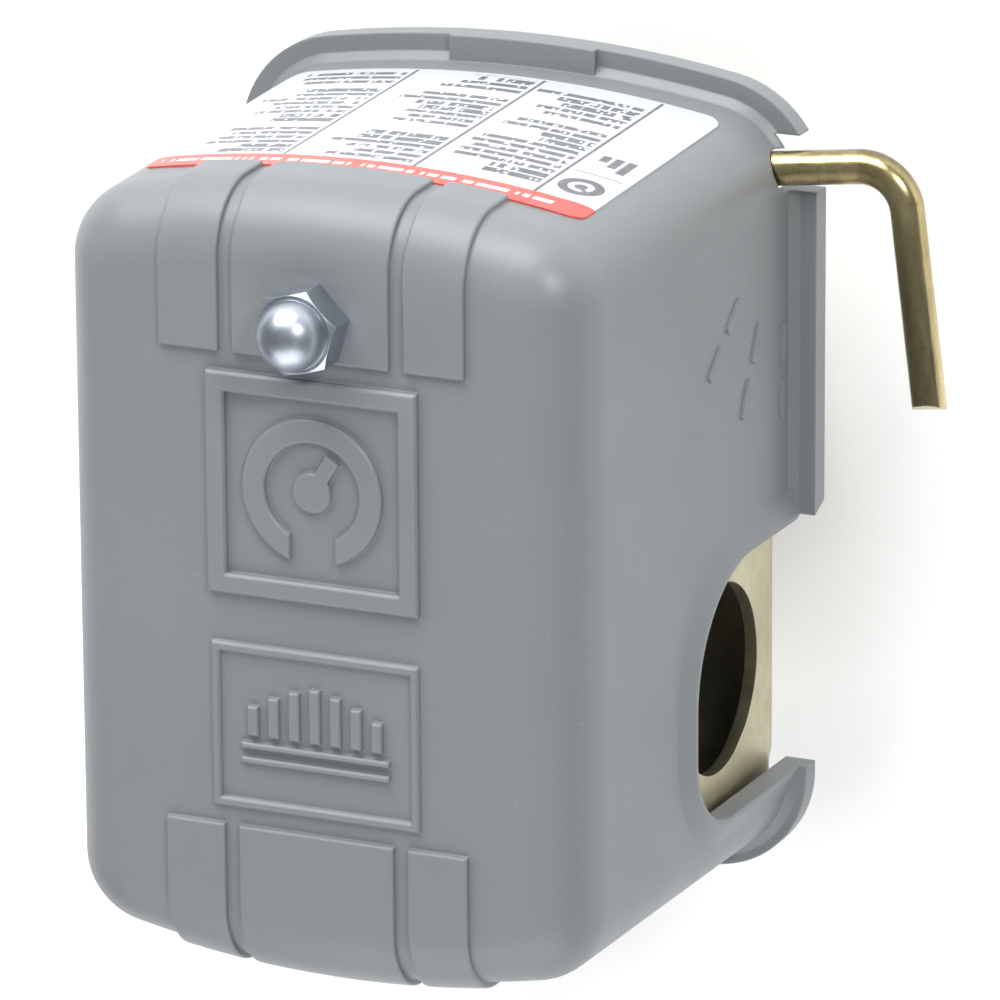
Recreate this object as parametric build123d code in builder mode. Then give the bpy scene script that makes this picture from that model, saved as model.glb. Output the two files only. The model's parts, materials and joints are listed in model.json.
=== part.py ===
from build123d import *
import os
from math import asin, atan, cos, degrees, pi, radians, sin, tan

# Diaphragm pressure switch, standing as it does on its pipe: the pressure port
# points down, +Z runs from the port to the face of the cover, +Y is the side
# with the label and +X the side with the cut-off lever. The origin is the
# centre of the port's mouth. Millimetres.

# ---- driving dimensions ----
base_z = 24.0                 # underside of the base plate, above the port's mouth
sheet = 1.5                   # steel of the base
base_top = base_z + sheet

# cover
rear_z = 23.5                 # open end of the cover
face_z = 83.5                 # flat of the cover's face
draft = 1.43                  # degrees, on every wall
cover_w = 65.6                # width over the walls at the open end
cover_top_y = 38.7            # crown of the bowed +Y wall at the open end
cover_bottom_y = -54.7        # crown of the bowed -Y wall at the open end
crown_drop = (3.8, 4.5)       # how far the +Y and -Y walls fall from crown to side
corner_r = 10.0
face_edge_r = 7.5
wall = 1.6
lip_out, lip_t = 2.95, 2.8
lip_low = 2.0                 # reach of the lip past the conduit notches, on the -Y side
relief = 0.7                  # height of the strips and frames on the face

# conduit wings of the base
wing_x = 30.1                 # outer face of each wing
wing_y = (-43.0, -10.0)
wing_top = 55.0
conduit_r = 11.1              # knock-out for 1/2 in. conduit fittings, 7/8 in.
conduit_y, conduit_z = -26.4, 40.8

# threads, as plain cylinders
stud_r = 2.08                 # No. 8 cover stud
range_r = 3.175               # 1/4 in. range stud
diff_r = 2.4                  # No. 10 differential stud
screw_r = 2.0

# working centres
cover_stud_y = 23.5
range_y = 11.0
diff_x, diff_y = 13.0, -1.5
hinge_y, hinge_z = 28.0, 39.5
pin_r = 1.6
lever_y, lever_z = 29.9, 27.7
lever_r = 1.98                # 5/32 in. rod
ear_x = 20.5                  # inner face of the hinge ears
plate_z, plate_t = 34.5, 2.0
plate_top = plate_z + plate_t

# contact block
block_x, block_y = 25.2, (-40.0, -15.5)
deck_z, deck_t = 50.0, 5.0
deck_top = deck_z + deck_t
rib_top = 66.0
bay_x = (-19.3, -8.9, 8.9, 19.3)
pole_x = (-14.1, 14.1)
terminal_y, contact_y = -33.0, -20.0
block_screw_y = (-25.0, -35.0)
ground_x, ground_y = 24.6, -3.0

# contact carrier and bridges
carrier_y = (-15.3, -13.3)    # the web that stands on the operating plate
bar_z = (64.2, 68.0)
bridge_z = (58.7, 60.2)

# diaphragm housing
housing_r, bolt_r = 20.5, 16.5
chamber_r = 13.0
port_r, port_len = 6.0, 11.0  # bore of the 1/4 in. pipe thread
hex_port = 20.6

os.makedirs("parts", exist_ok=True)


def save(part, name):
    part.label = name
    export_step(part, f"parts/{name}.step")


def cover_sketch(z, margin):
    """Outline of the cover's open end, moved out by margin, at height z."""
    half = cover_w / 2
    with BuildSketch(Plane.XY.offset(z)) as outline:
        with BuildLine():
            top = cover_top_y - crown_drop[0]
            bottom = cover_bottom_y + crown_drop[1]
            Line((half, bottom), (half, top))
            ThreePointArc((half, top), (0, cover_top_y), (-half, top))
            Line((-half, top), (-half, bottom))
            ThreePointArc((-half, bottom), (0, cover_bottom_y), (half, bottom))
        make_face()
        fillet(outline.vertices(), corner_r)
        offset(amount=margin)
    return outline.sketch


def cover_solid(margin, top_z):
    """Drafted block inside or outside the cover's walls by margin, with a rounded top edge."""
    with BuildPart() as block:
        add(cover_sketch(rear_z, margin))
        extrude(amount=top_z - rear_z, taper=draft)
        fillet(block.faces().sort_by(Axis.Z)[-1].edges(), face_edge_r + margin)
    return block.part


def coil(x, y, z0, z1, mean_r, wire, turns):
    """Compression spring standing between z0 and z1."""
    height = z1 - z0 - wire
    with BuildPart() as spring:
        with BuildLine() as path:
            Helix(height / turns, height, mean_r, center=(x, y, z0 + wire / 2))
        with BuildSketch(Plane(path.line @ 0, z_dir=path.line % 0)):
            Circle(wire / 2)
        sweep(is_frenet=True)
    return spring.part


def hex_blank(x, y, z, across, height, ends=(True, True), turn=0):
    """Hexagon standing on z, with the corners turned down at its lower and upper end."""
    flat, corner, fall = across / 2, across / 2 * 1.16, across * 0.06
    with BuildPart() as blank:
        with BuildSketch(Plane((x, y, z))):
            RegularPolygon(flat, 6, major_radius=False, rotation=turn)
        extrude(amount=height)
        with BuildSketch(Plane((x, y, z), x_dir=(1, 0, 0), z_dir=(0, -1, 0))):
            with BuildLine():
                Polyline(
                    (0, 0),
                    (flat if ends[0] else corner, 0),
                    (corner, fall),
                    (corner, height - fall),
                    (flat if ends[1] else corner, height),
                    (0, height),
                    close=True,
                )
            make_face()
        revolve(axis=Axis((x, y, z), (0, 0, 1)), mode=Mode.INTERSECT)
    return blank.part


def hex_nut(x, y, z, across, height, hole):
    """Hex nut standing on z."""
    with BuildPart() as nut:
        add(hex_blank(x, y, z, across, height))
        with BuildSketch(Plane((x, y, z))):
            Circle(hole)
        extrude(amount=height, mode=Mode.SUBTRACT)
    return nut.part


def round_head_screw(x, y, z_tip, z_head, head_r, head_h, shank, slot=0.9):
    """Slotted screw with its tip at z_tip and its head standing on z_head."""
    with BuildPart() as screw:
        with BuildSketch(Plane((x, y, z_tip))):
            Circle(shank)
        extrude(amount=z_head - z_tip)
        with BuildSketch(Plane((x, y, z_head))):
            Circle(head_r)
        extrude(amount=head_h)
        fillet(screw.edges().group_by(Axis.Z)[-1], head_h * 0.4)
        with BuildSketch(Plane((x, y, z_head + head_h))):
            Rectangle(2 * head_r, slot)
        extrude(amount=-head_h * 0.45, mode=Mode.SUBTRACT)
    return screw.part


def stud(x, y, z0, z1, r, foot_across, foot_h):
    """Threaded stud with a hex foot on the base plate and its end pressed into the plate."""
    with BuildPart() as rod:
        with BuildSketch(Plane((x, y, z0))):
            Circle(r)
        extrude(amount=z1 - z0)
        chamfer(rod.edges().group_by(Axis.Z)[-1], 0.5)
        with BuildSketch(Plane((x, y, base_top))):
            RegularPolygon(foot_across / 2, 6, major_radius=False)
        extrude(amount=foot_h)
    return rod.part


def e_clip(x, y, z, inner, outer, thickness):
    """Open retaining ring on a rod along X, its gap pointing up."""
    with BuildPart() as clip:
        with BuildSketch(Plane((x, y, z), x_dir=(0, 1, 0), z_dir=(1, 0, 0))):
            Circle(outer)
            Circle(inner, mode=Mode.SUBTRACT)
            with Locations((0, outer)):
                Rectangle(inner * 1.5, outer * 1.6, mode=Mode.SUBTRACT)
        extrude(amount=thickness)
    return clip.part


# ---- cover: a deep drafted box with strips, frames, slots and a lip ----
cavity = cover_solid(-wall, face_z - wall)
skin = cover_solid(relief, face_z + relief)
fine_skin = cover_solid(0.3, face_z + 0.3)

strip_side = (11.1, 18.3)     # inner and outer edge of each side strip
strip_mid = 9.4               # half width of the middle strip
upper_strip_y, lower_strip_y = 19.3, -35.3
strip_end_z = 72.0            # where the strips stop on the +Y and -Y walls

with BuildPart() as strips:
    with BuildSketch(Plane.XY.offset(strip_end_z)):
        for y, far in ((upper_strip_y, 50), (lower_strip_y, -62)):
            with Locations((0, (y + far) / 2)):
                Rectangle(2 * strip_mid, abs(far - y))
                with Locations((-sum(strip_side) / 2, 0), (sum(strip_side) / 2, 0)):
                    Rectangle(strip_side[1] - strip_side[0], abs(far - y))
    extrude(amount=20)
    add(skin, mode=Mode.INTERSECT)
    fillet(strips.edges().filter_by(lambda e: e.center().Z > face_z - 3.5 and e.length < 40), 0.3)

frame_w = 25.4
frame_y = 4.4                 # centre of the square frame
badge_y = (-33.2, -14.05)     # the lower frame
badge_w = 25.15


def raised_frame(y_mid, width, height, border, z_up):
    with BuildPart() as frame:
        with BuildSketch(Plane((0, y_mid, face_z - 1))):
            Rectangle(width, height)
            Rectangle(width - 2 * border, height - 2 * border, mode=Mode.SUBTRACT)
        extrude(amount=1 + z_up)
        chamfer(frame.faces().sort_by(Axis.Z)[-1].edges(), 0.3)
    return frame.part


# a dial with a pointer stands in the square frame, and a row of bars over two
# rules in the lower one
with BuildPart() as motif:
    with BuildSketch(Plane((0, frame_y, face_z - 1))) as dial:
        Circle(8.4)
        Circle(5.7, mode=Mode.SUBTRACT)
        with Locations((0, -7.6)):
            Rectangle(5.4, 7.0, mode=Mode.SUBTRACT)
        with PolarLocations(0, 1, start_angle=58):
            with Locations((1.6, 0)):
                Rectangle(6.2, 1.8)
        Circle(2.3)
    extrude(amount=1 + relief)
    with BuildSketch(Plane((0, sum(badge_y) / 2, face_z - 1))) as bars:
        bar_heights = (3.4, 4.6, 5.6, 6.2, 5.6, 4.6, 3.4)
        for i, height in enumerate(bar_heights):
            with Locations(((i - 3) * 2.5, -0.9 + height / 2)):
                Rectangle(1.3, height)
        with Locations((0, -2.1), (0, -3.8)):
            Rectangle(18.0, 0.7)
    extrude(amount=1 + relief)
    chamfer(motif.faces().filter_by(Plane.XY).group_by(Axis.Z)[-1].edges(), 0.2)

# ticks on the +X wall show where the lever stops
with BuildPart() as ticks:
    for angle in (3, 26, 49):
        for start in (17.5, 24.0):
            mid = start + 2.2
            y = lever_y - mid * cos(radians(angle))
            z = lever_z + mid * sin(radians(angle))
            with BuildSketch(Plane((cover_w / 2 - 5, y, z), x_dir=(0, -1, 0), z_dir=(1, 0, 0))):
                Rectangle(4.4, 0.8, rotation=-angle)
            extrude(amount=10)
    add(fine_skin, mode=Mode.INTERSECT)

notch_y = (-41.0, -11.0)
notch_front = 54.4
rim_h = 1.2                   # how far the wall flares out round each conduit notch
rim_slope = 2.0               # run of the flare for each millimetre of its rise
slot_half = 2.35              # half width of the lever's slot, above the lip
slot_y = (27.4, 33.8)         # gap in the lip under the slot


def notch_sketch(grow):
    """Outline of a conduit notch, Y across and Z up, moved out by grow."""
    with BuildSketch() as outline:
        with BuildLine():
            Polyline(
                (notch_y[0], rear_z - 1),
                (notch_y[1] + 2.0, rear_z - 1),
                (notch_y[1], rear_z + lip_t + 1),
                (notch_y[1], notch_front),
                (notch_y[0], notch_front),
                close=True,
            )
        make_face()
        fillet(outline.vertices().group_by(Axis.Y)[-1].sort_by(Axis.X)[0], 9.5)
        fillet(outline.vertices().group_by(Axis.Y)[-1].sort_by(Axis.X)[-1], 15)
        if grow:
            offset(amount=grow)
    return outline.sketch


# the flare starts 1 mm inside the wall, on a plane parallel to it
tilt = radians(draft)
wall_foot = cover_w / 2 + rear_z * tan(tilt)
wall_plane = Plane((wall_foot - 1, 0, 0), x_dir=(0, 1, 0), z_dir=(cos(tilt), 0, sin(tilt)))
with BuildPart() as rims:
    with BuildSketch(wall_plane):
        add(notch_sketch(0.5 + rim_slope * (1 + rim_h)))
    extrude(amount=1 + rim_h, taper=degrees(atan(rim_slope)))
    mirror(about=Plane.YZ)

with BuildPart() as cover:
    add(cover_solid(0, face_z))
    add(strips.part)
    add(raised_frame(frame_y, frame_w, frame_w, 2.3, 0.9))
    add(raised_frame(sum(badge_y) / 2, badge_w, badge_y[1] - badge_y[0], 1.1, 0.6))
    add(motif.part)
    add(ticks.part)
    with BuildSketch(Plane.XY.offset(rear_z)):
        add(cover_sketch(rear_z, lip_out))
        with Locations((0, cover_bottom_y)):
            Rectangle(2 * cover_w, 2 * (notch_y[0] - cover_bottom_y), mode=Mode.SUBTRACT)
        add(cover_sketch(rear_z, lip_low))
    extrude(amount=lip_t)
    with BuildSketch(Plane.XY.offset(rear_z + lip_t)):
        add(cover_sketch(rear_z + lip_t, 0.9))
    extrude(amount=0.9, taper=45)
    # thicker middle of the lip on the +Y side
    with BuildSketch(Plane.XY.offset(rear_z + lip_t)):
        add(cover_sketch(rear_z + lip_t, lip_out))
        with Locations((0, cover_top_y)):
            Rectangle(18, 12, mode=Mode.INTERSECT)
    extrude(amount=0.9)
    add(rims.part)
    with BuildSketch(Plane.XY.offset(rear_z)):
        Rectangle(2 * cover_w, 3 * cover_w)
    extrude(amount=-20, mode=Mode.SUBTRACT)
    add(cavity, mode=Mode.SUBTRACT)
    # conduit notches, through both side walls and the lip
    with BuildSketch(Plane.YZ.offset(-45)):
        add(notch_sketch(0))
    extrude(amount=90, mode=Mode.SUBTRACT)
    # slot for the lever, open to the rear, with a wider gap in the lip
    with BuildSketch(Plane.YZ.offset(25)):
        with Locations((lever_y, lever_z)):
            Circle(slot_half)
        with Locations((lever_y, (lever_z + rear_z - 1) / 2)):
            Rectangle(2 * slot_half, lever_z - rear_z + 1)
        with Locations((sum(slot_y) / 2, rear_z + lip_t / 2)):
            Rectangle(slot_y[1] - slot_y[0], lip_t + 0.4)
    extrude(amount=20, mode=Mode.SUBTRACT)
    # hole for the cover stud
    with BuildSketch(Plane((0, cover_stud_y, face_z - 5))):
        Circle(2.5)
    extrude(amount=10, mode=Mode.SUBTRACT)
save(cover.part, "cover")

# ---- label: one sheet on the bowed +Y wall ----
label_t = 0.2
label_x, label_z = (-26.2, 26.6), (31.5, 71.8)
with BuildPart() as cover_label:
    with BuildSketch(Plane.XZ.offset(-25)):
        with Locations((sum(label_x) / 2, sum(label_z) / 2)):
            RectangleRounded(label_x[1] - label_x[0], label_z[1] - label_z[0], 2.0)
    extrude(amount=-20)
    add(cover_solid(label_t, face_z + label_t), mode=Mode.INTERSECT)
    add(cover_solid(0, face_z), mode=Mode.SUBTRACT)
save(cover_label.part, "cover_label")

# ---- acorn nut on the face ----
acorn_z = face_z + relief
acorn_across, acorn_hex, dome_r = 8.73, 4.0, 3.9
dome_z = acorn_z + acorn_hex + 0.4
with BuildPart() as acorn_nut:
    add(hex_blank(0, cover_stud_y, acorn_z, acorn_across, acorn_hex, ends=(False, True), turn=14))
    with BuildSketch(Plane((0, cover_stud_y, 0), x_dir=(1, 0, 0), z_dir=(0, -1, 0))):
        with BuildLine():
            Polyline((0, dome_z + dome_r), (0, acorn_z + 1), (dome_r, acorn_z + 1), (dome_r, dome_z))
            ThreePointArc(
                (dome_r, dome_z),
                (dome_r * cos(pi / 4), dome_z + dome_r * sin(pi / 4)),
                (0, dome_z + dome_r),
            )
        make_face()
    revolve(axis=Axis((0, cover_stud_y, 0), (0, 0, 1)))
    with BuildSketch(Plane((0, cover_stud_y, acorn_z))):
        Circle(stud_r + 0.05)
    extrude(amount=6.4, mode=Mode.SUBTRACT)
save(acorn_nut.part, "acorn_nut")

# ---- base bracket: plate, two wings with the conduit holes, two hinge ears ----
plate_y = (-47.0, 34.2)
housing_bolts = PolarLocations(bolt_r, 4, start_angle=45)
ear_y = (23.5, 34.2)
with BuildPart() as base_bracket:
    with BuildSketch(Plane.XY.offset(base_z)):
        with Locations((0, sum(plate_y) / 2)):
            RectangleRounded(2 * wing_x - 1, plate_y[1] - plate_y[0], 8)
    extrude(amount=sheet)
    with BuildSketch(Plane.XZ.offset(-wing_y[0])) as channel:
        with BuildLine():
            inner_x = wing_x - sheet
            Polyline(
                (-wing_x, wing_top), (-wing_x, base_z), (wing_x, base_z), (wing_x, wing_top),
                (inner_x, wing_top), (inner_x, base_top), (-inner_x, base_top), (-inner_x, wing_top),
                close=True,
            )
        make_face()
        fillet(channel.vertices().group_by(Axis.Y)[0], 2.5)
        fillet(channel.vertices().filter_by(lambda v: base_top - 0.1 < v.Y < base_top + 0.1), 1.0)
    extrude(amount=-(wing_y[1] - wing_y[0]))
    wing_tops = base_bracket.edges().filter_by(Axis.X).group_by(Axis.Z)[-1]
    fillet(wing_tops, 5)
    for side in (-1, 1):
        # the lower edge of each wing is curled inwards
        with BuildSketch(Plane((side * (wing_x - 4.5), wing_y[0], base_top + 4))) as curl:
            Circle(4.5)
            Circle(4.5 - sheet, mode=Mode.SUBTRACT)
            with Locations((-side * 5, 0)):
                Rectangle(10, 12, mode=Mode.SUBTRACT)
            with Locations((0, 5)):
                Rectangle(12, 10, mode=Mode.SUBTRACT)
        extrude(amount=20)
        # hinge ears
        with BuildSketch(Plane.YZ.offset(side * (ear_x + sheet / 2))) as ear:
            with Locations((sum(ear_y) / 2, (base_top + 44) / 2)):
                Rectangle(ear_y[1] - ear_y[0], 44 - base_top)
            fillet(ear.vertices().group_by(Axis.Y)[-1], 4)
        extrude(amount=sheet / 2, both=True)
        # conduit holes, with two short flats
        with BuildSketch(Plane((side * 20, conduit_y, conduit_z), x_dir=(0, 1, 0), z_dir=(side, 0, 0))):
            Circle(conduit_r)
            Rectangle(2 * conduit_r - 0.3, 3 * conduit_r, rotation=side * 34, mode=Mode.INTERSECT)
        extrude(amount=20, mode=Mode.SUBTRACT)
    with BuildSketch(Plane.YZ.offset(-40)):
        with Locations((hinge_y, hinge_z)):
            Circle(pin_r)
        with Locations((lever_y, lever_z)):
            Circle(lever_r + 0.06)
    extrude(amount=80, mode=Mode.SUBTRACT)
    with BuildSketch(Plane.XY.offset(base_z)):
        Circle(5.3)
        with housing_bolts:
            Circle(screw_r)
        with Locations((0, cover_stud_y)):
            Circle(stud_r)
        with Locations((0, range_y)):
            Circle(range_r)
        with Locations((diff_x, diff_y)):
            Circle(diff_r)
        with Locations((-ground_x, ground_y), (ground_x, ground_y)):
            Circle(screw_r)
        with Locations((0, block_screw_y[0]), (0, block_screw_y[1])):
            Circle(screw_r)
        # room under the lever's washer and clip
        with Locations((-ear_x - sheet - 1.3, lever_y)):
            Rectangle(2.6, 7.6)
    extrude(amount=sheet, mode=Mode.SUBTRACT)
save(base_bracket.part, "base_bracket")

# ---- diaphragm housing, port body, diaphragm and piston ----
diaphragm_z = (16.4, 18.0)
with BuildPart() as diaphragm_housing:
    with BuildSketch(Plane.XY.offset(diaphragm_z[1])):
        Circle(housing_r)
        Circle(chamber_r, mode=Mode.SUBTRACT)
        with housing_bolts:
            Circle(screw_r + 0.1, mode=Mode.SUBTRACT)
    extrude(amount=base_z - diaphragm_z[1])
save(diaphragm_housing.part, "diaphragm_housing")

with BuildPart() as diaphragm:
    with BuildSketch(Plane.XY.offset(diaphragm_z[0])):
        Circle(housing_r - 0.4)
        with housing_bolts:
            Circle(screw_r + 0.1, mode=Mode.SUBTRACT)
    extrude(amount=diaphragm_z[1] - diaphragm_z[0])
save(diaphragm.part, "diaphragm")

with BuildPart() as port_body:
    add(hex_blank(0, 0, 0, hex_port, port_len, ends=(True, False)))
    with BuildSketch(Plane.XY.offset(port_len)):
        Circle(housing_r)
        with housing_bolts:
            Circle(screw_r + 0.1, mode=Mode.SUBTRACT)
    extrude(amount=diaphragm_z[0] - port_len)
    with BuildSketch(Plane.XY.offset(diaphragm_z[0])):
        Circle(chamber_r)
    extrude(amount=-2.4, mode=Mode.SUBTRACT)
    with BuildSketch():
        Circle(port_r)
    extrude(amount=port_len, mode=Mode.SUBTRACT)
    with BuildSketch():
        Circle(1.6)
    extrude(amount=diaphragm_z[0], mode=Mode.SUBTRACT)
save(port_body.part, "port_body")

with BuildPart() as housing_screws:
    for spot in housing_bolts.locations:
        x, y = spot.position.X, spot.position.Y
        with BuildSketch(Plane((x, y, port_len))):
            Circle(screw_r)
        extrude(amount=17)
        add(hex_blank(x, y, port_len - 2.8, 6.8, 2.8, ends=(True, False)))
save(housing_screws.part, "housing_screws")

piston_rest = diaphragm_z[1] + 0.05
piston_top = plate_z - 0.1
stem_r, crown_r = 5.0, 12.0   # piston stem, and the radius of its crown
crown_angle = asin(stem_r / crown_r)
with BuildPart() as piston:
    with BuildSketch(Plane.XZ):
        with BuildLine():
            edge_z = piston_top - crown_r * (1 - cos(crown_angle))
            Polyline(
                (0, piston_top), (0, piston_rest), (chamber_r - 1, piston_rest),
                (chamber_r - 1, piston_rest + 2.2), (stem_r, piston_rest + 2.2), (stem_r, edge_z),
            )
            middle = crown_angle / 2
            ThreePointArc(
                (stem_r, edge_z),
                (crown_r * sin(middle), piston_top - crown_r * (1 - cos(middle))),
                (0, piston_top),
            )
        make_face()
    revolve(axis=Axis.Z)
    fillet(piston.edges().group_by(Axis.Z)[0], 0.8)
save(piston.part, "piston")

# ---- studs, nuts and springs ----
save(stud(0, cover_stud_y, base_z, face_z + 6.0, stud_r, 8.0, 3.0), "cover_stud")
save(stud(0, range_y, base_z, 76.0, range_r, 10.0, 3.0), "range_stud")
save(stud(diff_x, diff_y, base_z, 60.0, diff_r, 8.0, 2.5), "differential_stud")

range_coil = (plate_top + 0.2, 61.8)
save(coil(0, range_y, *range_coil, 8.1, 2.6, 5.5), "range_spring")
diff_coil = (plate_top + 0.2, 49.8)
save(coil(diff_x, diff_y, *diff_coil, 3.9, 1.1, 6.5), "differential_spring")


def spring_seat(x, y, z, outer, hole, thickness):
    """Cupped washer over the top of a spring, with a guide collar inside the coil."""
    with BuildPart() as seat:
        with BuildSketch(Plane((x, y, z))):
            Circle(outer)
        extrude(amount=thickness)
        with BuildSketch(Plane((x, y, z))):
            Circle(hole + 1.0)
        extrude(amount=-2.2)
        with BuildSketch(Plane((x, y, z - 4))):
            Circle(hole)
        extrude(amount=12, mode=Mode.SUBTRACT)
        fillet(seat.edges().group_by(Axis.Z)[-1].sort_by(SortBy.RADIUS)[-1], thickness * 0.3)
    return seat.part


save(spring_seat(0, range_y, 62.0, 10.0, range_r + 0.05, 2.4), "range_spring_seat")
save(hex_nut(0, range_y, 64.4, 11.1, 5.6, range_r + 0.05), "range_nut")
save(spring_seat(diff_x, diff_y, 50.0, 5.2, diff_r + 0.05, 1.6), "differential_spring_seat")
save(hex_nut(diff_x, diff_y, 51.6, 8.7, 3.6, diff_r + 0.05), "differential_nut")

# ---- operating plate on its hinge pin ----
plate_half, plate_end = 20.0, -17.0
with BuildPart() as operating_plate:
    with BuildSketch(Plane.XY.offset(plate_z)) as blank:
        with BuildLine():
            Polyline(
                (plate_half, 31.5), (plate_half, -6.0), (12.0, plate_end),
                (-12.0, plate_end), (-plate_half, -6.0), (-plate_half, 31.5), close=True,
            )
        make_face()
        fillet(blank.vertices().group_by(Axis.Y)[0], 3)
        with Locations((0, range_y)):
            Circle(range_r + 1.6, mode=Mode.SUBTRACT)
        with Locations((0, cover_stud_y)):
            Circle(stud_r + 1.3, mode=Mode.SUBTRACT)
        with Locations((diff_x, diff_y)):
            Circle(diff_r + 0.7, mode=Mode.SUBTRACT)
    extrude(amount=plate_t)
    for side in (-1, 1):
        with BuildSketch(Plane.YZ.offset(side * (plate_half - sheet / 2))) as cheek:
            with BuildLine():
                Polyline((14, plate_top - 0.5), (31.5, plate_top - 0.5), (31.5, 43.2),
                         (25.5, 43.2), (14, plate_top + 1), close=True)
            make_face()
            fillet(cheek.vertices().group_by(Axis.Y)[-1], 2)
        extrude(amount=sheet / 2, both=True)
    with BuildSketch(Plane.YZ.offset(-30)):
        with Locations((hinge_y, hinge_z)):
            Circle(pin_r + 0.06)
    extrude(amount=60, mode=Mode.SUBTRACT)
save(operating_plate.part, "operating_plate")

pin_half = 23.6
with BuildPart() as hinge_pin:
    with BuildSketch(Plane((-pin_half, hinge_y, hinge_z), z_dir=(1, 0, 0))):
        Circle(pin_r)
    extrude(amount=2 * pin_half)
    chamfer(hinge_pin.edges().filter_by(GeomType.CIRCLE), 0.3)
save(hinge_pin.part, "hinge_pin")

with BuildPart() as pin_clips:
    add(e_clip(-pin_half + 0.5, hinge_y, hinge_z, pin_r, 3.0, 0.7))
    add(e_clip(pin_half - 1.2, hinge_y, hinge_z, pin_r, 3.0, 0.7))
save(pin_clips.part, "pin_clips")

# ---- cut-off lever: a bent rod through both ears, with a finger under the plate ----
lever_end_x = -25.6
lean = 7.2                    # the outside of the rod leans away from the cover
rise_x = 29.4                 # where the rod leaves the X axis
corner_x = 46.6               # where it turns down along the cover
handle_len = 28.2
shear = radians(25)           # slope of the sheared end
corner_y = lever_y + (corner_x - rise_x) * tan(radians(lean))
handle_end = (
    corner_x + handle_len * sin(radians(lean)),
    corner_y - handle_len * cos(radians(lean)),
)
with BuildPart() as cutoff_lever:
    with BuildLine() as rod:
        FilletPolyline(
            (lever_end_x, lever_y, lever_z),
            (rise_x, lever_y, lever_z),
            (corner_x, corner_y, lever_z),
            (*handle_end, lever_z),
            radius=5.2,
        )
    with BuildSketch(Plane((lever_end_x, lever_y, lever_z), z_dir=(1, 0, 0))):
        Circle(lever_r)
    sweep()
    with BuildSketch(Plane.YZ.offset(10)) as finger:
        with Locations((lever_y - 2.6, lever_z)):
            SlotCenterToCenter(4.2, 2.2)
    extrude(amount=6)
    end_dir = (sin(radians(lean)) * cos(shear), -cos(radians(lean)) * cos(shear), sin(shear))
    with BuildSketch(Plane((*handle_end, lever_z), z_dir=end_dir)):
        Circle(8)
    extrude(amount=6, mode=Mode.SUBTRACT)
save(cutoff_lever.part, "cutoff_lever")

with BuildPart() as lever_washer:
    with BuildSketch(Plane((-ear_x - sheet - 1.0, lever_y, lever_z), z_dir=(1, 0, 0))):
        Circle(3.3)
        Circle(lever_r + 0.2, mode=Mode.SUBTRACT)
    extrude(amount=0.8)
save(lever_washer.part, "lever_washer")
save(e_clip(-ear_x - sheet - 1.9, lever_y, lever_z, lever_r, 3.4, 0.8), "lever_clip")

# ---- contact block with four bays, its terminals and screws ----
rib_t = 1.4
rib_x = (3.7, 14.1, 24.5)     # middle of each rib, on both sides
crossing_y = (-24.0, -13.0)   # the ribs are cut down here, for the bridges
guide_z = 41.0                # lower end of the carrier's guides, clear of the lifted plate
with BuildPart() as contact_block:
    with BuildSketch(Plane.XY.offset(deck_z)) as deck:
        with Locations((0, sum(block_y) / 2)):
            Rectangle(2 * block_x, block_y[1] - block_y[0])
        fillet(deck.vertices(), 1.2)
    extrude(amount=deck_t)
    # pedestal down to the base plate
    with BuildSketch(Plane.XY.offset(base_top)):
        with Locations((0, -29.5)):
            RectangleRounded(18, 21, 1.5)
    extrude(amount=deck_z - base_top)
    # ribs between the bays, cut down where the bridges cross
    with BuildSketch(Plane.XY.offset(deck_top)):
        for x in rib_x:
            with Locations((-x, sum(block_y) / 2), (x, sum(block_y) / 2)):
                Rectangle(rib_t, block_y[1] - block_y[0])
        with Locations((0, block_y[0] + rib_t / 2)):
            Rectangle(2 * block_x, rib_t)
    extrude(amount=rib_top - deck_top)
    with BuildSketch(Plane.XY.offset(deck_top + 1.5)):
        with Locations(*[(x, sum(crossing_y) / 2) for x in pole_x]):
            Rectangle(4, crossing_y[1] - crossing_y[0])
    extrude(amount=20, mode=Mode.SUBTRACT)
    with BuildSketch(Plane.XY.offset(bar_z[0] - 1)):
        with Locations((0, sum(crossing_y) / 2)):
            Rectangle(2 * block_x + 1, crossing_y[1] - crossing_y[0])
    extrude(amount=10, mode=Mode.SUBTRACT)
    # openings in the end wall for the wires
    with BuildSketch(Plane.XZ.offset(-block_y[0] - 2)):
        for x in bay_x:
            with Locations((x, deck_top + 7)):
                RectangleRounded(6.6, 10, 1.2)
    extrude(amount=4, mode=Mode.SUBTRACT)
    # guides for the contact carrier
    with BuildSketch(Plane.XY.offset(guide_z)):
        with Locations((-13.2, block_y[1] + 0.6), (13.2, block_y[1] + 0.6)):
            Rectangle(1.6, 4.0)
    extrude(amount=deck_top - guide_z)
    with BuildSketch(Plane.XY.offset(base_top)):
        for y in block_screw_y:
            with Locations((0, y)):
                Circle(screw_r + 0.1)
        for x in bay_x:
            with Locations((x, terminal_y)):
                Circle(1.9)
    extrude(amount=40, mode=Mode.SUBTRACT)
save(contact_block.part, "contact_block")

with BuildPart() as block_screws:
    for y in block_screw_y:
        add(round_head_screw(0, y, base_z, deck_top, 2.9, 2.2, screw_r))
save(block_screws.part, "block_screws")

strip_t = 1.2
strip_top = deck_top + strip_t
with BuildPart() as terminal_plates:
    for x in bay_x:
        with BuildSketch(Plane.XY.offset(deck_top)) as strap:
            with Locations((x, (terminal_y + contact_y) / 2 - 0.4)):
                Rectangle(7.8, 20.0)
            chamfer(strap.vertices(), 0.8)
            with Locations((x, terminal_y)):
                Circle(1.9, mode=Mode.SUBTRACT)
        extrude(amount=strip_t)
save(terminal_plates.part, "terminal_plates")

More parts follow.
